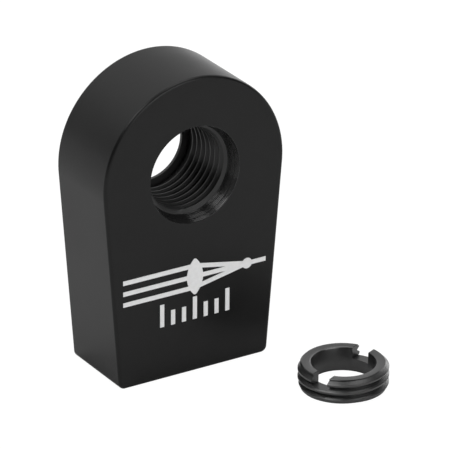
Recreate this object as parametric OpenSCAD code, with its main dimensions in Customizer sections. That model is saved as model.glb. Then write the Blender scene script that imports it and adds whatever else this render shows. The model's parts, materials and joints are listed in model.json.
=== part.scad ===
// Lens mount for a small round optic, with its threaded retaining ring.
// One milled block stands on its base and carries a threaded bore. The ring screws
// into that bore in use, and lies beside the block here, as it does before a lens goes in.
// Millimetres. +Z is up, the bore's mouth faces -Y, and the origin is the middle of the
// base, at the mouth of the tapped post hole.

/* [Block] */
// Width of the block, which is the diameter of its round top
body_w = 12.2; // [11:0.1:16]
// Distance between the sloping sides where they reach the base
base_w = 10.2; // [8:0.1:11]
// Thickness of the block, from the front face to the back face
body_t = 5.5; // [5.25:0.05:9]
// Height of the lens axis above the base
axis_h = 12.7; // [11:0.1:20]
// Radius of the two lower corners, seen from the front
corner_r = 0.4; // [0.3:0.05:1]
// Radius that softens every outer edge
edge_r = 0.2; // [0.1:0.02:0.28]

/* [Lens bore] */
// Nominal diameter of the fine thread in the bore
thread_d = 5.5; // [5:0.1:6.5]
// Pitch of that thread
thread_pitch = 0.5; // [0.35:0.05:0.6]
// Depth of the smooth counterbore in front of the thread
counterbore_depth = 0.95; // [0.5:0.05:1.4]
// How much the counterbore widens towards its mouth, on the radius
counterbore_flare = 0.24; // [0.1:0.02:0.4]
// Slope of the shoulder where the thread starts
shoulder_slope = 15; // [10:1:45]
// Thickness of the lip behind the lens seat
lip_t = 0.26; // [0.2:0.02:0.6]
// Open diameter inside the lip
aperture_d = 4.6; // [4:0.1:4.6]
// Length of the turned relief between the thread and the lip
relief_l = 0.6; // [0.3:0.05:0.9]

/* [Post hole] */
// Nominal diameter of the post thread
post_thread_d = 4.166; // [3:0.1:4.2]
// Pitch of the post thread
post_pitch = 0.794; // [0.5:0.05:0.8]
// Depth of the full diameter of the tapped hole
post_depth = 6.4; // [4:0.1:7]

/* [Retaining ring] */
// Height of the ring
ring_h = 1.55; // [1.25:0.05:2.5]
// Open diameter of the ring
ring_id = 3.84; // [3:0.04:4]
// Width of the two spanner slots
slot_w = 1.1; // [0.5:0.05:1.4]
// Depth of the spanner slots below the ring's top
slot_depth = 0.74; // [0.5:0.02:0.9]
// Chamfer around the ring's top
ring_top_chamfer = 0.23; // [0.1:0.01:0.3]
// Depth of the chamfer around the ring's underside, which starts the thread
ring_foot_chamfer = 0.15; // [0.1:0.01:0.35]
// Height of that chamfer
ring_foot_lead = 0.34; // [0.2:0.02:0.4]
// Direction that the spanner slots point in, from +X
slot_turn = 24; // [0:1:90]
// Distance of the ring's middle in front of the block
ring_ahead = 6.1; // [4.5:0.1:12]
// Distance of the ring's middle to the right of the lens axis
ring_aside = 6.53; // [0:0.1:12]

/* [Hidden] */

$fn = 96;
// Overlap by which a cutter passes the face that it opens
cut = 0.1;

// Room between the thread and the turned bores on each side of it
turned_gap = 0.05;
// Room between the ring's thread and the bore's thread, on the diameter
ring_slack = 0.1;
// Share of the pitch by which a tapped hole is smaller than its thread
tap_share = 0.9;

// Thread bore
bore_d = thread_d - tap_share * thread_pitch;
turned_r = thread_d / 2 + turned_gap;
shoulder_h = (turned_r - bore_d / 2) * tan(shoulder_slope);
seat_depth = body_t - lip_t;
relief_start = seat_depth - relief_l;

// Post hole
post_r = (post_thread_d - tap_share * post_pitch) / 2;
post_mouth_r = post_thread_d / 2 + turned_gap;
// Half of the point angle of a twist drill
drill_half_angle = 59;
post_tip_h = post_r / tan(drill_half_angle);

// Side of the block: a line through the end of the base that touches the round top
top_r = body_w / 2;
half_base = base_w / 2;
side_slope = atan2(axis_h, half_base) - acos(top_r / norm([half_base, axis_h]));
side_normal = [cos(side_slope), -sin(side_slope)];
corner_x = half_base - corner_r * (1 - sin(side_slope)) / cos(side_slope);
foot_centre = [corner_x, corner_r];
foot_touch = foot_centre + corner_r * side_normal;
top_touch = [0, axis_h] + top_r * side_normal;
// How far the bars along the sides reach in, and the core's corners within them
side_depth = 2;
top_inner = top_touch - side_depth / 2 * side_normal;
// Turns a point of the XZ plane into its mirror image across the middle
flip = [[-1, 0], [0, 1]];

// Retaining ring
ring_r = (thread_d - ring_slack) / 2;
ring_bore_r = ring_id / 2;

// Mark on the front face: a lens with its rays, and a short scale below it
mark_t = 0.03;
mark_line = 0.28;
mark_z = 6.2;
mark_half_w = 4.9;
lens_h = 2.3;
lens_curve_r = 1.6;
lens_half_t = 0.55;
ray_rise = 0.7;
focus_x = 3.6;
focus_r = 0.34;
scale_z = 3.45;
scale_pitch = 0.75;
scale_ticks = 6;
tick_h = 0.95;
long_tick_h = 1.45;

// Section of a plate of the block's thickness that ends in a softened edge, drawn along +X
module edge_section(depth) {
    half_flat = body_t / 2 - edge_r;
    translate([0, -half_flat]) square([depth, 2 * half_flat]);
    translate([0, -body_t / 2]) square([depth - edge_r, body_t]);
    for (side = [-1, 1])
        translate([depth - edge_r, side * half_flat]) circle(r = edge_r);
}

// A disc with a softened rim, standing on its edge at a point of the XZ plane
module soft_disc(centre, r) {
    translate([centre[0], 0, centre[1]])
        rotate([90, 0, 0])
            rotate_extrude()
                intersection() {
                    edge_section(r);
                    translate([0, -body_t]) square([2 * r, 2 * body_t]);
                }
}

// A bar whose softened edge runs from a to b in the XZ plane, with the block on its left
module soft_bar(a, b, depth) {
    run = b - a;
    translate([a[0], 0, a[1]])
        rotate([0, -atan2(run[1], run[0]), 0])
            rotate([90, 0, 90])
                linear_extrude(norm(run))
                    translate([0, depth]) rotate(-90) edge_section(depth);
}

// The block before it is bored: three discs joined by the bars that touch them
module blank() {
    soft_disc([0, axis_h], top_r);
    for (side = [0, 1])
        mirror([side, 0, 0]) {
            soft_disc(foot_centre, corner_r);
            soft_bar(foot_touch, top_touch, side_depth);
        }
    soft_bar([-corner_x, 0], [corner_x, 0], corner_r);
    rotate([90, 0, 0])
        linear_extrude(body_t, center = true)
            polygon([foot_centre, top_inner, flip * top_inner, flip * foot_centre]);
}

// Everything that is turned away for the lens, drawn along +Z from the front face
module lens_bore() {
    flare_at_cut = counterbore_flare * (1 + cut / counterbore_depth);
    translate([0, 0, -cut])
        cylinder(r1 = turned_r + flare_at_cut, r2 = turned_r, h = counterbore_depth + cut);
    translate([0, 0, counterbore_depth])
        cylinder(r1 = turned_r, r2 = bore_d / 2, h = shoulder_h);
    cylinder(r = bore_d / 2, h = relief_start + relief_l / 2);
    translate([0, 0, relief_start]) cylinder(r = turned_r, h = relief_l);
    cylinder(r = aperture_d / 2, h = body_t + cut);
}

// The blind tapped hole that takes the post, drawn along +Z from the base
module post_hole() {
    lead = post_mouth_r - post_r;
    translate([0, 0, -cut]) cylinder(r1 = post_mouth_r + cut, r2 = post_r, h = lead + cut);
    cylinder(r = post_r, h = post_depth);
    translate([0, 0, post_depth]) cylinder(r1 = post_r, r2 = 0, h = post_tip_h);
}

module mount_body() {
    color("#1c1c1e")
        difference() {
            blank();
            translate([0, -body_t / 2, axis_h]) rotate([-90, 0, 0]) lens_bore();
            post_hole();
        }
}

module retaining_ring() {
    profile = [
        [ring_bore_r, 0],
        [ring_r - ring_foot_chamfer, 0],
        [ring_r, ring_foot_lead],
        [ring_r, ring_h - ring_top_chamfer],
        [ring_r - ring_top_chamfer, ring_h],
        [ring_bore_r, ring_h]
    ];
    color("#303033")
        translate([ring_aside, -body_t / 2 - ring_ahead, 0])
            rotate([0, 0, slot_turn])
                difference() {
                    rotate_extrude() polygon(profile);
                    translate([-ring_r - cut, -slot_w / 2, ring_h - slot_depth])
                        cube([2 * (ring_r + cut), slot_w, slot_depth + cut]);
                }
}

// A straight stroke of the mark between two points
module stroke(a, b) {
    run = b - a;
    translate(a)
        rotate(atan2(run[1], run[0]))
            translate([0, -mark_line / 2]) square([norm(run), mark_line]);
}

// The lens of the mark, seen from its side
module lens_sign() {
    shift = lens_curve_r - lens_half_t;
    intersection() {
        translate([shift, 0]) circle(r = lens_curve_r);
        translate([-shift, 0]) circle(r = lens_curve_r);
        square([2 * lens_half_t, lens_h], center = true);
    }
}

module mark_shape() {
    translate([0, mark_z]) {
        stroke([-mark_half_w, 0], [mark_half_w, 0]);
        lens_sign();
        for (side = [-1, 1]) {
            stroke([-mark_half_w, side * ray_rise], [0, side * ray_rise]);
            stroke([0, side * ray_rise], [focus_x, 0]);
        }
        translate([focus_x, 0]) circle(r = focus_r);
    }
    for (i = [0 : scale_ticks]) {
        tall = i % 3 == 0 ? long_tick_h : tick_h;
        x = (i - scale_ticks / 2) * scale_pitch;
        translate([x - mark_line / 2, scale_z]) square([mark_line, tall]);
    }
}

module face_marking() {
    color("#e6e6e6")
        translate([0, -body_t / 2, 0])
            rotate([90, 0, 0]) linear_extrude(mark_t) mark_shape();
}

mount_body();
retaining_ring();
face_marking();
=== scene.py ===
# %% [markdown]
# # A mount for a very small lens, and its retaining ring
#
# The real thing is two pieces of black anodised aluminium. A block with a round top stands on
# its base, and a threaded bore runs through it. A lens drops in from the front and rests on a
# thin lip at the back, and a slotted ring is screwed in after it. Here the ring lies beside the
# block, as it does before a lens goes in.
#
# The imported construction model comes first. It fixes every size and place, so nothing below
# moves it. Its box is kept now and compared with the finished model at the end.

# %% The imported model
import json
import math

import bmesh
import bpy
from mathutils import Matrix, Vector


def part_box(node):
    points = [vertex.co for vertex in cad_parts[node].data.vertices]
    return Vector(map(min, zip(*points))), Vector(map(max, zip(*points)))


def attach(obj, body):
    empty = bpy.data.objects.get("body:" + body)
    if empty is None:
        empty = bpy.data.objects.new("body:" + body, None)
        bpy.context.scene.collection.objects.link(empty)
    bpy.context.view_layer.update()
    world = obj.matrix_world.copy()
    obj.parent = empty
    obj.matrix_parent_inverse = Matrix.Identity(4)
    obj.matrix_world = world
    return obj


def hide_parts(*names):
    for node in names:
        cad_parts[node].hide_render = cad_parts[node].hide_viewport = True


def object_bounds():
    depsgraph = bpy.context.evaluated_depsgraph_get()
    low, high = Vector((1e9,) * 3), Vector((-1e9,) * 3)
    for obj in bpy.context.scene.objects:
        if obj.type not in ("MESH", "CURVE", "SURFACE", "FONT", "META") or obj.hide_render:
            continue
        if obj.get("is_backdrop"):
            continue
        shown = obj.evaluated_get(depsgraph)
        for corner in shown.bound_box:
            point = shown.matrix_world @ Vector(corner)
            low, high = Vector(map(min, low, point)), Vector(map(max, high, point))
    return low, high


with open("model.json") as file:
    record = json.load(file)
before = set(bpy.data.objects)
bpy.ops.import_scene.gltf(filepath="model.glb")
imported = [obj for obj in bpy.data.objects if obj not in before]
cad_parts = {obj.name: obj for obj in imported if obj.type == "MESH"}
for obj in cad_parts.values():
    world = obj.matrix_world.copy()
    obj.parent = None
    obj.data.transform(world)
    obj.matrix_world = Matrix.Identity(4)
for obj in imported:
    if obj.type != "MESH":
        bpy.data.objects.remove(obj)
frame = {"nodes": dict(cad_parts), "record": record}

MM = 0.001
cad_low, cad_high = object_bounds()
print("construction model, mm:", [round(side / MM, 2) for side in cad_high - cad_low])

# %% [markdown]
# ## Sizes
#
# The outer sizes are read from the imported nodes, and the bores from the mounts in its record.
# Only what the construction model leaves plain is written out below: the threads, the small
# edge breaks and the marks of the tools. All lengths are metres, so a size in millimetres is
# multiplied by MM.

# %% Sizes that the model gives
block_low, block_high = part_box("mount_body")
ring_low, ring_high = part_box("retaining_ring")
mounts = {mount["name"]: mount for mount in frame["record"]["mounts"]}


def bore_radius(name):
    """Radius of one of the record's bores."""
    return mounts[name]["dims"]["r_mm"] * MM


FRONT_Y = block_low.y
THICKNESS = block_high.y - block_low.y
TOP_RADIUS = block_high.x
AXIS_Z = mounts["lens_bore"]["pos_m"][2]
LENS_AXIS = Vector((0, 0, AXIS_Z))
RING_CENTRE = Vector(mounts["ring_aperture"]["pos_m"]) * Vector((1, 1, 0))
RING_HEIGHT = ring_high.z
RING_RADIUS = (ring_high.x - ring_low.x) / 2
print("lens axis, mm above the base:", round(AXIS_Z / MM, 2))
print("ring, mm:", round(2 * RING_RADIUS / MM, 3), "across,", round(RING_HEIGHT / MM, 2), "high")

# %% [markdown]
# ## The camera
#
# The view is a product view from the front left and from above, taken from far away with a long
# lens, so that upright edges stay nearly parallel. The camera is placed by the point it looks
# at, two angles, a distance and a slight roll. That is easier to adjust than a position and
# three rotations, because each number changes one thing.

# %% Camera
LOOK_AT = Vector((3.35, -0.64, 7.93)) * MM
CAMERA_AZIMUTH = math.radians(-32.1)
CAMERA_ELEVATION = math.radians(24.48)
CAMERA_ROLL = math.radians(0.43)
CAMERA_DISTANCE = 259 * MM
CAMERA_LENS = 350.4


def turned_view(azimuth, elevation, roll=0):
    """Rotation of a camera or a lamp that looks inwards from an azimuth and an elevation."""
    level = Matrix.Rotation(azimuth, 3, "Z") @ Matrix.Rotation(math.pi / 2 - elevation, 3, "X")
    return level @ Matrix.Rotation(roll, 3, "Z")


view = turned_view(CAMERA_AZIMUTH, CAMERA_ELEVATION, CAMERA_ROLL)
bpy.ops.object.camera_add(
    location=LOOK_AT + view @ Vector((0, 0, CAMERA_DISTANCE)), rotation=view.to_euler()
)
camera = bpy.context.object
camera.name = "camera"
camera.data.lens = CAMERA_LENS
camera.data.clip_start = 10 * MM
camera.data.clip_end = 10
bpy.context.scene.camera = camera
print("camera, mm:", [round(value / MM, 1) for value in camera.location])

# %% [markdown]
# ## Small helpers for modelling
#
# Operators act on whatever is selected, so each step first clears the selection and then picks
# what it needs by place or direction. Outlines are drawn the way one does by hand: a single
# vertex is extruded from point to point. Those chains are then spun, wound or extruded.

# %% Helper: one piece active, nothing else selected
def start_clean(piece=None):
    """Leaves edit mode and selects one piece only, or nothing."""
    if bpy.context.mode != "OBJECT":
        bpy.ops.object.mode_set(mode="OBJECT")
    bpy.ops.object.select_all(action="DESELECT")
    if piece is not None:
        piece.select_set(True)
        bpy.context.view_layer.objects.active = piece


# %% Helper: select by a test
def middle(part):
    """Middle of a vertex, an edge or a face."""
    corners = getattr(part, "verts", [part])
    return sum((corner.co for corner in corners), Vector()) / len(corners)


def pick(kind, test):
    """In edit mode, selects only the parts of one kind that pass a test."""
    data = bpy.context.edit_object.data
    bpy.ops.mesh.select_mode(type=kind)
    bpy.ops.mesh.select_all(action="DESELECT")
    mesh = bmesh.from_edit_mesh(data)
    parts = {"VERT": mesh.verts, "EDGE": mesh.edges, "FACE": mesh.faces}[kind]
    found = [part for part in parts if test(part)]
    for part in found:
        part.select_set(True)
    mesh.select_flush_mode()
    bmesh.update_edit_mesh(data)
    return len(found)


# %% Helper: draw a chain of edges
TINY = 1e-4 * MM


def trace(name, points):
    """Makes a piece from one vertex, extruded from point to point, and stays in edit mode."""
    start_clean()
    bpy.ops.mesh.primitive_plane_add(size=MM)
    bpy.context.object.name = name
    bpy.ops.object.mode_set(mode="EDIT")
    bpy.ops.mesh.select_mode(type="VERT")
    bpy.ops.mesh.merge(type="CENTER")
    bpy.ops.transform.translate(value=points[0])
    for here, there in zip(points, points[1:]):
        bpy.ops.mesh.extrude_vertices_move(TRANSFORM_OT_translate={"value": there - here})
    return bpy.context.object


# %% Helper: spin a chain into a turned solid
def turn(piece, centre, axis, steps):
    """Spins the chain that is being edited into a closed solid, as a lathe would leave it."""
    bpy.ops.mesh.select_all(action="SELECT")
    bpy.ops.mesh.spin(steps=steps, angle=math.tau, center=centre, axis=axis)
    bpy.ops.mesh.select_all(action="SELECT")
    bpy.ops.mesh.remove_doubles(threshold=TINY)
    bpy.ops.mesh.fill_holes(sides=0)
    bpy.ops.mesh.select_all(action="SELECT")
    bpy.ops.mesh.normals_make_consistent(inside=False)
    start_clean(piece)
    return piece


# %% Helper: boolean and measuring
def carve(piece, tool, operation="DIFFERENCE"):
    """Cuts a tool's shape out of a piece, or keeps only what both hold, and deletes the tool."""
    start_clean(piece)
    cut = piece.modifiers.new("carve", "BOOLEAN")
    cut.operation = operation
    cut.solver = "MANIFOLD"
    cut.object = tool
    bpy.ops.object.modifier_apply(modifier=cut.name)
    bpy.data.objects.remove(tool)
    return measure(piece)


def measure(piece):
    """Prints how many faces a piece has, whether it is closed, and its volume."""
    mesh = bmesh.new()
    mesh.from_mesh(piece.data)
    gaps = sum(not edge.is_manifold for edge in mesh.edges)
    volume = mesh.calc_volume(signed=True) / MM**3
    print(f"{piece.name}: {len(mesh.faces)} faces, {gaps} open edges, {volume:.2f} mm3")
    mesh.free()
    return piece


# %% [markdown]
# ## The block
#
# The real block is milled from bar: a round top, two straight sides that run in towards the
# base, and soft outer edges. A cube with a boolean cylinder on top would work, but the sides
# must run smoothly out of the round top. So the outline is drawn instead: one vertex at the
# point where the right side touches the round top is spun over it, both ends are extruded down
# to the base, and the outline is filled and extruded to the block's thickness.

# %% Outline of the block
BASE_WIDTH = 10.2 * MM
CORNER_RADIUS = 0.4 * MM
EDGE_RADIUS = 0.2 * MM
ARCH_STEPS = 96

half_base = BASE_WIDTH / 2
SIDE_SLOPE = math.atan2(AXIS_Z, half_base) - math.acos(TOP_RADIUS / math.hypot(half_base, AXIS_Z))
touch = Vector((math.cos(SIDE_SLOPE), 0, -math.sin(SIDE_SLOPE))) * TOP_RADIUS
right_touch = Vector((0, FRONT_Y, AXIS_Z)) + touch
right_foot = Vector((half_base, FRONT_Y, 0))
flip = Vector((-1, 1, 1))

block = trace("lens_mount_block", [right_foot, right_touch])
pick("VERT", lambda vertex: vertex.co.z > AXIS_Z / 2)
bpy.ops.mesh.spin(
    steps=ARCH_STEPS, angle=math.pi + 2 * SIDE_SLOPE, center=(0, FRONT_Y, AXIS_Z), axis=(0, 1, 0)
)
pick("VERT", lambda vertex: (vertex.co - right_touch * flip).length < TINY)
bpy.ops.mesh.extrude_vertices_move(
    TRANSFORM_OT_translate={"value": (right_foot - right_touch) * flip}
)
bpy.ops.mesh.select_all(action="SELECT")
bpy.ops.mesh.edge_face_add()
bpy.ops.mesh.extrude_region_move(TRANSFORM_OT_translate={"value": (0, THICKNESS, 0)})
print("side slope, degrees:", round(math.degrees(SIDE_SLOPE), 2))

# %% [markdown]
# The two lower corners are rounded first, then every outer edge of the front and back faces.
# Several segments keep the softened edge round, because it is what catches the light.

# %% Softened corners and edges
CORNER_SEGMENTS = 8
EDGE_SEGMENTS = 6
corner_angle = math.pi / 2 + SIDE_SLOPE


def is_foot_edge(edge):
    """Tells the two edges that run from front to back along the base."""
    return middle(edge).z < TINY and abs(abs(middle(edge).x) - half_base) < TINY


def is_rim_edge(edge):
    """Tells the edges round the front face and the back face."""
    return abs(abs(middle(edge).y) - THICKNESS / 2) < TINY


print("foot corners:", pick("EDGE", is_foot_edge))
bpy.ops.mesh.bevel(
    offset=CORNER_RADIUS / math.tan(corner_angle / 2), segments=CORNER_SEGMENTS, affect="EDGES"
)
print("rim edges:", pick("EDGE", is_rim_edge))
bpy.ops.mesh.bevel(offset=EDGE_RADIUS, segments=EDGE_SEGMENTS, affect="EDGES")
bpy.ops.mesh.select_all(action="SELECT")
bpy.ops.mesh.normals_make_consistent(inside=False)
start_clean(block)
measure(block)

# %% [markdown]
# ## The turned bore
#
# The bore is turned: a smooth counterbore that flares towards its mouth, a sloping shoulder where
# the thread starts, a plain relief where the thread tool runs out, and a thin lip that the lens
# rests on. One outline holds all of them, drawn as a distance from the axis and a depth behind
# the front face. Spun round the axis it becomes the shape of what the lathe takes away.

# %% Cutter for the turned bore
THREAD_RADIUS = 2.75 * MM
THREAD_PITCH = 0.5 * MM
BORE_RADIUS = bore_radius("lens_bore")
LIP_RADIUS = bore_radius("rear_aperture")
LIP = mounts["rear_aperture"]["dims"]["length_mm"] * MM
TURNED_GAP = 0.05 * MM
TURNED_RADIUS = THREAD_RADIUS + TURNED_GAP
COUNTERBORE_FLARE = 0.24 * MM
COUNTERBORE_DEPTH = 0.95 * MM
SHOULDER_SLOPE = math.radians(15)
RELIEF_LENGTH = 0.6 * MM
PASS_BY = 0.1 * MM
EDGE_BREAK = 0.03 * MM
MOUTH_BREAK = 0.006 * MM
BORE_STEPS = 192

SEAT_DEPTH = THICKNESS - LIP
RELIEF_START = SEAT_DEPTH - RELIEF_LENGTH
mouth_radius = TURNED_RADIUS + COUNTERBORE_FLARE
inner_radius = BORE_RADIUS - PASS_BY
shoulder_end = COUNTERBORE_DEPTH + (TURNED_RADIUS - inner_radius) * math.tan(SHOULDER_SLOPE)


def in_bore(radius, depth):
    """A point of the bore's outline, on its +X side."""
    return Vector((radius, FRONT_Y + depth, AXIS_Z))


bore_outline = [
    in_bore(mouth_radius + PASS_BY, -PASS_BY),
    in_bore(mouth_radius + MOUTH_BREAK, 0),
    in_bore(mouth_radius - MOUTH_BREAK, MOUTH_BREAK),
    in_bore(TURNED_RADIUS, COUNTERBORE_DEPTH),
    in_bore(inner_radius, shoulder_end),
    in_bore(inner_radius, RELIEF_START),
    in_bore(TURNED_RADIUS, RELIEF_START),
    in_bore(TURNED_RADIUS, SEAT_DEPTH),
    in_bore(LIP_RADIUS + EDGE_BREAK, SEAT_DEPTH),
    in_bore(LIP_RADIUS, SEAT_DEPTH + EDGE_BREAK),
    in_bore(LIP_RADIUS, THICKNESS - EDGE_BREAK),
    in_bore(LIP_RADIUS + EDGE_BREAK, THICKNESS),
    in_bore(LIP_RADIUS + EDGE_BREAK, THICKNESS + PASS_BY),
]
bore_cutter = turn(trace("bore_cutter", bore_outline), LENS_AXIS, (0, 1, 0), BORE_STEPS)
measure(bore_cutter)
carve(block, bore_cutter)

# %% [markdown]
# ## Threads
#
# A thread is a groove that climbs by one pitch each turn. Rings stacked in a row would look
# nearly the same, but they never start or end anywhere, and on the real parts the start of the
# groove shows. So one pitch of the outline is wound up by a Screw modifier. Each turn's lower
# edge meets the upper edge of the turn before it, and merging those vertices makes one closed
# skin, which is cut to length by two bisecting planes that also cap it.
#
# The same helper makes the bore's thread and the post hole's thread, which are cut away, and the
# ring's thread, which is kept. The crests have their corners taken off, as cut metal has.

# %% Helper: a threaded rod
FLANK = math.tan(math.radians(30))
CREST_CORNER = 0.03 * MM
THREAD_STEPS = 128
SPARE_TURNS = 3
PLANE_MARGIN = TINY / 10


def thread_outline(root_radius, crest_radius, pitch, crest_flat, corner=CREST_CORNER):
    """One pitch of a thread, from the middle of one root to the next, as (radius, height)."""
    flank = (crest_radius - root_radius) * FLANK
    half_crest = crest_flat / 2
    half = [
        (root_radius, -pitch / 2),
        (root_radius, -half_crest - flank - corner),
        (root_radius + corner, -half_crest - flank),
        (crest_radius - corner, -half_crest - corner * FLANK),
        (crest_radius, -half_crest + corner / 2),
    ]
    return half + [(radius, -height) for radius, height in reversed(half)]


def threaded_rod(name, outline, pitch, start, low, high):
    """A right-hand screw along +Z. start is the height of a crest on the +X side."""
    turns = math.ceil((high - low) / pitch) + SPARE_TURNS
    first = start - pitch * math.ceil((start - low) / pitch + SPARE_TURNS / 2)
    rod = trace(name, [Vector((radius, 0, first + height)) for radius, height in outline])
    start_clean(rod)
    winding = rod.modifiers.new("winding", "SCREW")
    winding.axis = "Z"
    winding.screw_offset = pitch
    winding.iterations = turns
    winding.steps = THREAD_STEPS
    winding.render_steps = THREAD_STEPS
    bpy.ops.object.modifier_apply(modifier=winding.name)
    bpy.ops.object.mode_set(mode="EDIT")
    bpy.ops.mesh.select_all(action="SELECT")
    bpy.ops.mesh.remove_doubles(threshold=TINY)
    for height, below in ((low, True), (high, False)):
        bpy.ops.mesh.select_all(action="SELECT")
        bpy.ops.mesh.bisect(
            plane_co=(0, 0, height),
            plane_no=(0, 0, 1),
            use_fill=True,
            clear_inner=below,
            clear_outer=not below,
            threshold=PLANE_MARGIN,
        )
    bpy.ops.mesh.select_all(action="SELECT")
    bpy.ops.mesh.normals_make_consistent(inside=False)
    start_clean(rod)
    return measure(rod)


# %% [markdown]
# The bore's thread starts in the counterbore and runs out in the relief, so both ends of the
# rod lie in space that is already open. The rod is drawn upright and then laid along the lens
# axis with its foot at the front face.

# %% Thread of the bore
BORE_THREAD_START = 0.43 * MM
BORE_CREST_FLAT = 0.1 * MM

bore_thread = thread_outline(BORE_RADIUS, THREAD_RADIUS, THREAD_PITCH, BORE_CREST_FLAT)
bore_rod = threaded_rod(
    "bore_rod",
    bore_thread,
    THREAD_PITCH,
    BORE_THREAD_START - THREAD_PITCH / 2,
    COUNTERBORE_DEPTH - PASS_BY,
    RELIEF_START + PASS_BY,
)
bore_rod.rotation_euler = (-math.pi / 2, 0, 0)
bore_rod.location = (0, FRONT_Y, AXIS_Z)
bpy.ops.object.transform_apply()
carve(block, bore_rod)

# %% [markdown]
# ## The post hole
#
# A twist drill leaves a cone at the bottom of its hole, a countersink opens the mouth, and a tap
# cuts the thread. The hole is under the block, where few people look, but a stranger who turns
# the mount over should find it.

# %% Post hole
POST_RADIUS = bore_radius("post_hole")
POST_THREAD_RADIUS = 2.083 * MM
POST_PITCH = 0.794 * MM
POST_DEPTH = 6.4 * MM
POST_THREAD_DEPTH = 5.4 * MM
POST_CREST_FLAT = 0.1 * MM
DRILL_HALF_ANGLE = math.radians(59)
DRILL_POINT = 10 * TINY
POST_STEPS = 96

post_mouth = POST_THREAD_RADIUS + TURNED_GAP
drill_tip = POST_DEPTH + (POST_RADIUS - TINY) / math.tan(DRILL_HALF_ANGLE)
post_outline = [
    Vector((post_mouth + PASS_BY, 0, -PASS_BY)),
    Vector((POST_RADIUS, 0, post_mouth - POST_RADIUS)),
    Vector((POST_RADIUS, 0, POST_DEPTH)),
    Vector((DRILL_POINT, 0, drill_tip)),
]
post_cutter = turn(trace("post_cutter", post_outline), (0, 0, 0), (0, 0, 1), POST_STEPS)
carve(block, post_cutter)

post_thread = thread_outline(
    POST_RADIUS - PASS_BY / 2, POST_THREAD_RADIUS, POST_PITCH, POST_CREST_FLAT
)
post_rod = threaded_rod("post_rod", post_thread, POST_PITCH, 0, -PASS_BY, POST_THREAD_DEPTH)
carve(block, post_rod)

# %% [markdown]
# ## The retaining ring
#
# The ring is turned and threaded, and a saw cuts two slots for the spanner that drives it.
# Its blank is a closed outline spun round the ring's axis, with a long chamfer at the foot and a
# short one at the top. The blank is a little too wide on purpose: keeping only what it shares
# with a threaded rod gives it its thread, and the chamfers run off through the crests.

# %% Blank of the ring
RING_BORE_RADIUS = bore_radius("ring_aperture")
RING_ROOT_RADIUS = 2.39 * MM
RING_FOOT_CHAMFER = 0.15 * MM
RING_FOOT_LEAD = 0.34 * MM
RING_TOP_CHAMFER = 0.23 * MM
RING_INNER_BREAK = 0.09 * MM
RING_STEPS = 160


def in_ring(radius, height):
    """A point of the ring's outline, on its +X side."""
    return Vector((radius, 0, height))


ring_outline = [
    in_ring(RING_BORE_RADIUS, EDGE_BREAK),
    in_ring(RING_BORE_RADIUS + EDGE_BREAK, 0),
    in_ring(RING_RADIUS - RING_FOOT_CHAMFER, 0),
    in_ring(RING_RADIUS, RING_FOOT_LEAD),
    in_ring(RING_RADIUS + PASS_BY, RING_FOOT_LEAD + PASS_BY),
    in_ring(RING_RADIUS + PASS_BY, RING_HEIGHT - RING_TOP_CHAMFER - PASS_BY),
    in_ring(RING_RADIUS - RING_TOP_CHAMFER, RING_HEIGHT),
    in_ring(RING_BORE_RADIUS + RING_INNER_BREAK, RING_HEIGHT),
    in_ring(RING_BORE_RADIUS + RING_INNER_BREAK / 3, RING_HEIGHT - RING_INNER_BREAK / 3),
    in_ring(RING_BORE_RADIUS, RING_HEIGHT - RING_INNER_BREAK),
]
ring = trace("slotted_ring", ring_outline)
pick("VERT", lambda vertex: vertex.co.x < RING_BORE_RADIUS + TINY)
bpy.ops.mesh.edge_face_add()
turn(ring, (0, 0, 0), (0, 0, 1), RING_STEPS)
measure(ring)

# %% [markdown]
# The threaded rod and the blank now meet in an Intersect boolean. Both slots are sawn in one pass
# on the real ring, so one long cube cuts both here. Its top face is extruded and widened, which
# takes the sharp corner off the upper edges of the slots. The ring is modelled round the origin,
# where its axis is easy to work with, and is moved to its place at the end.

# %% Thread and slots of the ring
RING_THREAD_START = 0.395 * MM
RING_CREST_FLAT = 0.13 * MM
SLOT_WIDTH = 1.1 * MM
SLOT_DEPTH = 0.74 * MM
SLOT_TURN = math.radians(24)
SLOT_FLARE = 0.03 * MM
FACING = 0.9

ring_thread = thread_outline(RING_ROOT_RADIUS, RING_RADIUS, THREAD_PITCH, RING_CREST_FLAT)
ring_rod = threaded_rod(
    "ring_rod", ring_thread, THREAD_PITCH, RING_THREAD_START, -PASS_BY, RING_HEIGHT + PASS_BY
)
carve(ring, ring_rod, "INTERSECT")

start_clean()
slot_floor = RING_HEIGHT - SLOT_DEPTH
bpy.ops.mesh.primitive_cube_add(size=1)
slot_cutter = bpy.context.object
slot_cutter.name = "slot_cutter"
slot_cutter.scale = (3 * RING_RADIUS, SLOT_WIDTH, SLOT_DEPTH - SLOT_FLARE)
slot_cutter.location.z = slot_floor + (SLOT_DEPTH - SLOT_FLARE) / 2
slot_cutter.rotation_euler.z = SLOT_TURN
bpy.ops.object.transform_apply()
bpy.ops.object.mode_set(mode="EDIT")
pick("FACE", lambda face: face.normal.z > FACING)
bpy.ops.mesh.extrude_region_move(TRANSFORM_OT_translate={"value": (0, 0, PASS_BY)})
wider = 1 + 2 * PASS_BY / SLOT_WIDTH
bpy.ops.transform.resize(value=(wider, wider, 1), center_override=(0, 0, RING_HEIGHT))
start_clean(slot_cutter)
measure(slot_cutter)
carve(ring, slot_cutter)

ring.location = RING_CENTRE
bpy.ops.object.transform_apply()

# %% [markdown]
# ## Slivers
#
# Where two cuts nearly meet, a boolean leaves edges far shorter than a hair. They don't show, but
# other programs close them up and then find holes. Merging by distance removes them. The operator
# doesn't go below a thousandth of a millimetre, which is too coarse for the ring's fine thread,
# so the mesh is blown up, merged, and brought back to its size. A corner that then lies along one
# edge, with no other edge leaving it, is dissolved, or the two faces beside it would be cut into
# triangles that lie on each other.

# %% Merging of slivers
SLIVER = 5 * TINY


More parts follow.
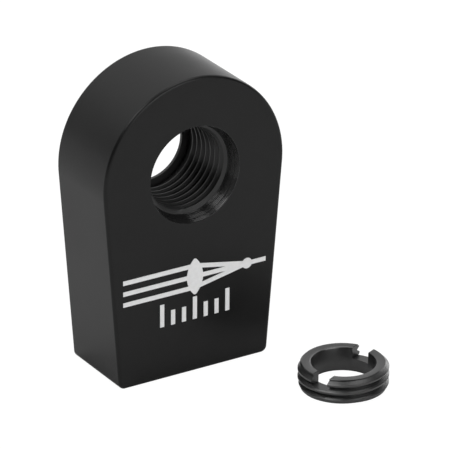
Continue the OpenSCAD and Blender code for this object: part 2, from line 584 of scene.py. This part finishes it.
def resize(piece, factor):
    """Scales a piece's mesh about the origin."""
    start_clean(piece)
    piece.scale = (factor, factor, factor)
    bpy.ops.object.transform_apply()


def merge_slivers(piece):
    """Merges corners that nearly touch, and dissolves those that lie along one edge."""
    resize(piece, 1 / MM)
    bpy.ops.object.mode_set(mode="EDIT")
    bpy.ops.mesh.select_all(action="SELECT")
    bpy.ops.mesh.remove_doubles(threshold=SLIVER / MM)
    bpy.ops.mesh.dissolve_degenerate(threshold=SLIVER / MM)
    print("corners along one edge:", pick("VERT", lambda corner: len(corner.link_edges) == 2))
    bpy.ops.mesh.dissolve_verts()
    resize(piece, MM)
    return measure(piece)


merge_slivers(block)
merge_slivers(ring)

# %% [markdown]
# ## Smooth where it is round, sharp where it is cut
#
# Round walls are shaded smooth and edges sharper than the set angle stay sharp. Booleans leave
# large flat faces beside narrow ones, and plain smooth shading would bend the light across
# them. A Weighted Normal modifier gives large faces the say, so that flat faces stay flat.

# %% Shading of both pieces
SHARP_ANGLE = math.radians(32)


def shade(piece):
    """Shades a piece smooth between its sharp edges and keeps its large faces flat."""
    start_clean(piece)
    bpy.ops.object.shade_smooth_by_angle(angle=SHARP_ANGLE)
    weighted = piece.modifiers.new("weighted", "WEIGHTED_NORMAL")
    weighted.keep_sharp = True
    bpy.ops.object.modifier_apply(modifier=weighted.name)
    return measure(piece)


shade(block)
shade(ring)

# %% [markdown]
# ## Writing finishes as expressions
#
# A finish here is a short sum over noise patterns. Wired by hand in the node editor such a sum
# takes a dozen boxes, and it is hard to read back. So one small class wraps a socket: adding or
# multiplying two of them adds the Math node that does it. Every other node comes from one
# method, which takes the node's kind, then its settings, then the values of its sockets.

# %% Helper: sockets that take part in sums
class Wire:
    """A value in a finish, usable in sums and products with other values and numbers."""

    def __init__(self, finish, socket):
        self.finish = finish
        self.socket = socket

    def math(self, operation, first, second):
        """A Math node on two values."""
        return self.finish.node("Math", {"operation": operation}, {0: first, 1: second})

    def __add__(self, other):
        return self.math("ADD", self, other)

    def __sub__(self, other):
        return self.math("SUBTRACT", self, other)

    def __rsub__(self, other):
        return self.math("SUBTRACT", other, self)

    def __mul__(self, other):
        return self.math("MULTIPLY", self, other)

    def __pow__(self, other):
        return self.math("POWER", self, other)

    __radd__ = __add__
    __rmul__ = __mul__

    def beside(self, name):
        """Another output of the same node."""
        return Wire(self.finish, self.socket.node.outputs[name])


# %% Helper: a finish and its nodes
class Finish:
    """The nodes of a material or a sky, added one expression at a time."""

    def __init__(self, owner):
        owner.use_nodes = True
        self.owner = owner
        self.tree = owner.node_tree
        self.tree.nodes.clear()

    def node(self, kind, settings=None, values=None, output=0):
        """Adds a node: its settings first, then a number, a colour or a wire for each socket."""
        made = self.tree.nodes.new("ShaderNode" + kind)
        for name, setting in (settings or {}).items():
            setattr(made, name, setting)
        for name, value in (values or {}).items():
            if isinstance(value, Wire):
                self.tree.links.new(value.socket, made.inputs[name])
            else:
                made.inputs[name].default_value = value
        return Wire(self, made.outputs[output])

    def place(self):
        """Object coordinates, in metres."""
        return self.node("TexCoord", output="Object")

    def patches(self, place, size, detail=2.0):
        """Soft random patches of about one size, between 0 and 1."""
        return self.node("TexNoise", None, {"Vector": place, "Scale": 1 / size, "Detail": detail})

    def grey(self, value):
        """A colour with one value in all three channels."""
        return self.node("CombineColor", None, {"Red": value, "Green": value, "Blue": value})

    def relief(self, height, depth=1.0):
        """The normal of an uneven surface: its height times a depth, in metres."""
        return self.node("Bump", None, {"Height": height, "Distance": depth})

    def reach(self, vector, side):
        """How far a vector reaches towards one side."""
        return self.node("VectorMath", {"operation": "DOT_PRODUCT"}, {0: vector, 1: side}, "Value")

    def kinds_of_ray(self):
        """Whether a ray comes straight from the viewer, and whether it was mirrored."""
        direct = self.node("LightPath", output="Is Camera Ray")
        return direct, direct.beside("Is Glossy Ray") + direct.beside("Is Transmission Ray")

    def close(self, shader):
        """Connects the finished shader to the output of a material or a sky."""
        kind = "World" if isinstance(self.owner, bpy.types.World) else "Material"
        end = self.tree.nodes.new("ShaderNodeOutput" + kind)
        self.tree.links.new(shader.socket, end.inputs["Surface"])
        print(f"{self.owner.name}: {len(self.tree.nodes)} nodes")
        return self.owner


# %% [markdown]
# ## Black anodising on the outside
#
# The block was blasted before it was anodised, so its skin is a dull black with a fine, even
# grain. Nearly all that shows on it is reflected light: face on it is close to black, and the
# faces that are seen at a slant turn a soft grey. That comes from the shader itself, as long as
# the base colour is almost black. Plain black paint would do the same with less, but the grain
# and the slight clouds in the gloss are what makes metal look like metal close up.

# %% Finish of the outside
SATIN_GREY = 0.004
SATIN_ROUGHNESS = 0.28
SATIN_SHINE = 0.25
CLOUD_SIZE = 2.2 * MM
CLOUD_GREY = 0.003
CLOUD_ROUGHNESS = 0.1
GRAIN_SIZE = 0.09 * MM
GRAIN_GREY = 0.002
GRAIN_DEPTH = 0.004 * MM


def satin_anodise(name):
    """Blasted and black anodised aluminium."""
    finish = Finish(bpy.data.materials.new(name))
    place = finish.place()
    cloud = finish.patches(place, CLOUD_SIZE, detail=4)
    grain = finish.patches(place, GRAIN_SIZE)
    return finish.close(finish.node("BsdfPrincipled", None, {
        "Base Color": finish.grey(SATIN_GREY + CLOUD_GREY * cloud + GRAIN_GREY * grain),
        "Roughness": SATIN_ROUGHNESS + CLOUD_ROUGHNESS * cloud,
        "Specular IOR Level": SATIN_SHINE,
        "Normal": finish.relief(grain, GRAIN_DEPTH),
    }))


outside_finish = satin_anodise("satin_black_anodise")

# %% [markdown]
# ## Black anodising on turned faces
#
# The bore and the ring were cut on a lathe after blasting, so they are smoother and shinier, and
# the tool left fine grooves that run round the axis. The feed is the step from one groove to the
# next, and the round nose of the tool makes each groove a shallow hollow with a sharp ridge on
# each side. Such grooves smear every reflection along the axis and leave it crisp around it. At
# the mouth of the bore that makes short bright blocks out of the two lamps overhead.
#
# A Mapping node first moves the pattern onto the axis of the piece. The place along the axis
# then goes through a Ping-pong node, which folds it into one groove after another, and its
# square is the hollow: a tool of nose radius R cuts x * x / (2 * R) deep at x from the middle.
# Taking off a part of the radius draws the same grooves on end faces too. A little noise in one
# dimension keeps the grooves from being all alike. Real grooves in the mesh would look the same,
# but would take a few hundred thousand faces.

# %% Finish of turned faces
SMEAR_SIZE = 0.9 * MM
SMEAR_GREY = 0.003
SMEAR_ROUGHNESS = 0.08
WANDER = 0.3
END_FACE_SHARE = 0.7


def turned_anodise(name, centre, tilt, tool, grey, roughness, shine):
    """Turned and black anodised aluminium. The tool is given by its feed and nose radius."""
    feed, nose = tool
    finish = Finish(bpy.data.materials.new(name))
    local = finish.node(
        "Mapping",
        {"vector_type": "TEXTURE"},
        {"Vector": finish.place(), "Location": centre, "Rotation": (tilt, 0, 0)},
    )
    across = finish.node("SeparateXYZ", None, {"Vector": local})
    radius = (across * across + across.beside("Y") ** 2) ** 0.5
    along = across.beside("Z") - END_FACE_SHARE * radius
    uneven = finish.node("TexNoise", {"noise_dimensions": "1D"}, {"W": along, "Scale": 1 / feed})
    groove = finish.node(
        "Math", {"operation": "PINGPONG"}, {0: along + feed * WANDER * uneven, 1: feed / 2}
    )
    smear = finish.patches(local, SMEAR_SIZE)
    return finish.close(finish.node("BsdfPrincipled", None, {
        "Base Color": finish.grey(grey + SMEAR_GREY * smear),
        "Roughness": roughness + SMEAR_ROUGHNESS * smear,
        "Specular IOR Level": shine,
        "Normal": finish.relief(groove ** 2 * (1 / (2 * nose))),
    }))


UPRIGHT = 0
LYING = -math.pi / 2
COARSE_TOOL = (0.12 * MM, 0.14 * MM)
FINE_TOOL = (0.05 * MM, 0.3 * MM)

mouth_finish = turned_anodise(
    "turned_black_mouth", LENS_AXIS, LYING, COARSE_TOOL, grey=0.012, roughness=0.16, shine=1.0
)
# The bore's grey is painted light: it is seven times lighter than the blasted outside, so that the
# thread, the relief and the lip in the bore's shade come out grey instead of black.
bore_finish = turned_anodise(
    "turned_black_bore", LENS_AXIS, LYING, FINE_TOOL, grey=0.028, roughness=0.26, shine=0.34
)
hole_finish = turned_anodise(
    "turned_black_hole", (0, 0, 0), UPRIGHT, FINE_TOOL, grey=0.005, roughness=0.2, shine=0.5
)
ring_finish = turned_anodise(
    "turned_black_ring", RING_CENTRE, UPRIGHT, FINE_TOOL, grey=0.018, roughness=0.27, shine=0.85
)

# %% [markdown]
# The block carries four finishes, and its faces are sorted by where they are. What lies inside
# the post hole was tapped, the wall of the counterbore was cut with a coarse feed, and the rest
# of the bore with a fine one. All other faces are blasted. Faces could be marked while they are
# made instead, but the cuts of the boolean modifiers renumber them, so it is done last.

# %% Which face has which finish
FACE_MARGIN = 0.01 * MM


def is_turned(face):
    """Tells the faces of the bore from the two outer faces of the block."""
    spot = face.calc_center_median()
    off_axis = math.hypot(spot.x, spot.z - AXIS_Z)
    in_front = abs(spot.y - FRONT_Y) < FACE_MARGIN and face.normal.y < -FACING
    behind = abs(spot.y + FRONT_Y) < FACE_MARGIN and face.normal.y > FACING
    return off_axis < mouth_radius + FACE_MARGIN and not in_front and not behind


def is_mouth(face):
    """Tells the wall of the counterbore from the shoulder and the thread behind it."""
    spot = face.calc_center_median()
    off_axis = math.hypot(spot.x, spot.z - AXIS_Z)
    before_shoulder = spot.y < FRONT_Y + COUNTERBORE_DEPTH - FACE_MARGIN
    return is_turned(face) and before_shoulder and off_axis > TURNED_RADIUS


def is_drilled(face):
    """Tells the faces of the post hole."""
    spot = face.calc_center_median()
    inside = math.hypot(spot.x, spot.y) < post_mouth + FACE_MARGIN
    return inside and FACE_MARGIN < spot.z < drill_tip + FACE_MARGIN


block.data.materials.clear()
for finish in (outside_finish, bore_finish, hole_finish, mouth_finish):
    block.data.materials.append(finish)
start_clean(block)
bpy.ops.object.mode_set(mode="EDIT")
for index, test in ((1, is_turned), (2, is_drilled), (3, is_mouth)):
    print(block.data.materials[index].name, "faces:", pick("FACE", test))
    block.active_material_index = index
    bpy.ops.object.material_slot_assign()
start_clean(ring)
ring.data.materials.clear()
ring.data.materials.append(ring_finish)

# %% [markdown]
# ## The white mark
#
# The mark is printed in white on the front face, as thin as paint, so it stays the construction
# model's own piece and only gets its ink. Printed ink is never quite even: it covers a little
# less here and there, and its surface follows the grain of the metal below.

# %% Ink of the mark
INK_GREY = 0.8
INK_ROUGHNESS = 0.6
INK_SHINE = 0.3
INK_PATCH_SIZE = 0.25 * MM
INK_PATCH_GREY = 0.14

ink = Finish(bpy.data.materials.new("white_ink"))
coverage = ink.patches(ink.place(), INK_PATCH_SIZE, detail=3)
ink.close(ink.node("BsdfPrincipled", None, {
    "Base Color": ink.grey(INK_GREY + INK_PATCH_GREY * coverage),
    "Roughness": INK_ROUGHNESS,
    "Specular IOR Level": INK_SHINE,
    "Normal": ink.relief(coverage, GRAIN_DEPTH),
}))
mark = frame["nodes"]["face_marking"]
mark.data.materials.clear()
mark.data.materials.append(ink.owner)

# %% [markdown]
# ## The floor
#
# The mount stands in a white studio. Black shiny metal shows little but its surroundings, so
# these decide most of what is seen.
#
# The floor is white paper, and it has two jobs. For everything that stands on it, it is paper:
# it takes the soft shadow of the block and throws light back at it. For the viewer it is also
# the white background, so it glows for rays that come from the camera. A large lamp on the floor
# would give the same white, but it would light the object as well. The paper also glows for
# mirrored rays, but only from 30 to 90 mm out towards the back right. That is a painted
# reflection, because no lamp lights the paper more there, and it is what brightens the right end
# of the round top. Near the block metal sees plain paper.

# %% Floor
FLOOR_SIZE = 1
PAPER_GREY = 0.78
PAPER_GLOW = 1.08
CAMERA_GLOW = 0.9
REFLECTION_GLOW_SIDE = (0.6, 0.8, 0)
REFLECTION_GLOW_FROM = 30 * MM
REFLECTION_GLOW_TO = 90 * MM

start_clean()
bpy.ops.mesh.primitive_plane_add(size=FLOOR_SIZE)
floor = bpy.context.object
floor.name = "floor"
paper = Finish(bpy.data.materials.new("white_paper"))
behind = paper.reach(paper.place(), REFLECTION_GLOW_SIDE)
# Painted reflection: the paper glows for mirrored rays only, rising from nothing at 30 mm to full at
# 90 mm out towards the back right.
painted_reflection = paper.node(
    "MapRange", None, {"Value": behind, "From Min": REFLECTION_GLOW_FROM, "From Max": REFLECTION_GLOW_TO}
)
direct, mirrored = paper.kinds_of_ray()
share = CAMERA_GLOW * direct + painted_reflection * mirrored
sheet = paper.node("BsdfDiffuse", None, {"Color": (PAPER_GREY, PAPER_GREY, PAPER_GREY, 1)})
glow = paper.node("Emission", None, {"Strength": PAPER_GLOW})
floor.data.materials.append(
    paper.close(paper.node("MixShader", None, {"Fac": share, 1: sheet, 2: glow}))
)
paper.owner.cycles.emission_sampling = "NONE"
floor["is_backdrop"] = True

# %% [markdown]
# ## The sky
#
# The sky is white for the viewer, with a strength of 1. For all other rays it is the room: a
# pale wall at the back right with a brighter spot above it, and no light at all from the side
# where the viewer stands, which keeps the inside of the bore deep black. Each part is the
# cosine between the ray and one side of the room, so it fades softly, as a large wall does.
# Metal sees the back wall a little brighter than it lights the rest. A picture of a real room
# could be used as well, but then each part could not be set by itself.

# %% Sky
WALL_SIDE = (0.29, 0.95, 0.09)
WALL_LIGHT = 0.6
WALL_GLEAM = 0.09
SPOT_SIDE = (-0.12, 0.81, 0.57)
SPOT_LIGHT = 0.36
SPOT_FOCUS = 8

world = bpy.data.worlds.new("studio")
bpy.context.scene.world = world
sky = Finish(world)
looking = sky.node("TexCoord", output="Generated")


def towards(side):
    """How far a ray looks towards one side: 1 straight at it, 0 when it looks away."""
    return sky.node("Math", {"operation": "MAXIMUM"}, {0: sky.reach(looking, side), 1: 0.0})


wall = towards(WALL_SIDE)
direct, mirrored = sky.kinds_of_ray()
room = WALL_LIGHT * wall + SPOT_LIGHT * towards(SPOT_SIDE) ** SPOT_FOCUS
seen = direct + (1 - direct) * room + WALL_GLEAM * mirrored * wall
sky.close(sky.node("Background", None, {"Color": (1, 1, 1, 1), "Strength": seen}))
bpy.context.scene.view_settings.view_transform = "Standard"

# %% [markdown]
# ## The lamps
#
# Two long soft boxes hang overhead with a gap between them. They draw the soft lines along the
# edges of the round top, and in the wall of the counterbore they show as two bright blocks. A
# wide lamp low in front fills the front face and the threads. Small ones behind and on the
# right light the back, the right side and the far end of the bore.
#
# Each lamp is placed by the direction it hangs in, in degrees, and by its distance, and always
# faces the mount. Its power follows from its area and its brightness, so a lamp can be made larger or
# smaller without changing how bright its reflection is. One lamp with an even sky would be
# simpler, but the edges would then go dull and the block would look like rubber.

# %% Lamps
AIM = Vector((1, -1, 7)) * MM
LAMP_DISTANCE = 500 * MM


def soft_lamp(name, azimuth, elevation, width, length, brightness, distance=LAMP_DISTANCE):
    """A lamp that faces the mount. Its power follows from its area and its brightness."""
    view = turned_view(math.radians(azimuth), math.radians(elevation))
    bpy.ops.object.light_add(
        type="AREA", location=AIM + view @ Vector((0, 0, distance)), rotation=view.to_euler()
    )
    lamp = bpy.context.object
    lamp.name = name
    lamp.data.shape = "RECTANGLE"
    lamp.data.size = width
    lamp.data.size_y = length
    lamp.data.energy = math.pi * width * length * brightness
    lamp.visible_camera = False
    print(f"{name}: {lamp.data.energy:.2f} W")


soft_lamp("overhead_left", -92, 57, 460 * MM, 240 * MM, brightness=3.5)
soft_lamp("overhead_right", 90, 76, 460 * MM, 260 * MM, brightness=2.5)
soft_lamp("front_lamp", 10, 20, 380 * MM, 200 * MM, brightness=4.0)
soft_lamp("back_lamp", 180, 5, 200 * MM, 200 * MM, brightness=1.9)
soft_lamp("right_lamp", 120, 5, 200 * MM, 200 * MM, brightness=3.0)
soft_lamp("small_right_lamp", 107, 31, 50 * MM, 50 * MM, brightness=1.5, distance=100 * MM)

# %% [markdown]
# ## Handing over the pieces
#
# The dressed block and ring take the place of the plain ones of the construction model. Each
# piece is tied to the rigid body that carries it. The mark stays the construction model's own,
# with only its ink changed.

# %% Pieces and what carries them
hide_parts("mount_body")
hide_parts("retaining_ring")
for piece, slot in ((block, "black_anodised_body"), (ring, "black_anodised_ring")):
    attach(piece, "root")
    print(piece.name, "faces:", len(piece.data.polygons))

# %% [markdown]
# At last the box of the finished model is measured and kept beside that of the construction
# model. Both should agree to a few thousandths of a millimetre, because the threads, the edge
# breaks and the finishes only take material away or leave it where it was.

# %% Size
low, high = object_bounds()
growth = max(*(cad_low - low), *(high - cad_high))
print("finished model, mm:", [round(side / MM, 2) for side in high - low])
print("most it stands out of the construction model, mm:", round(growth / MM, 4))
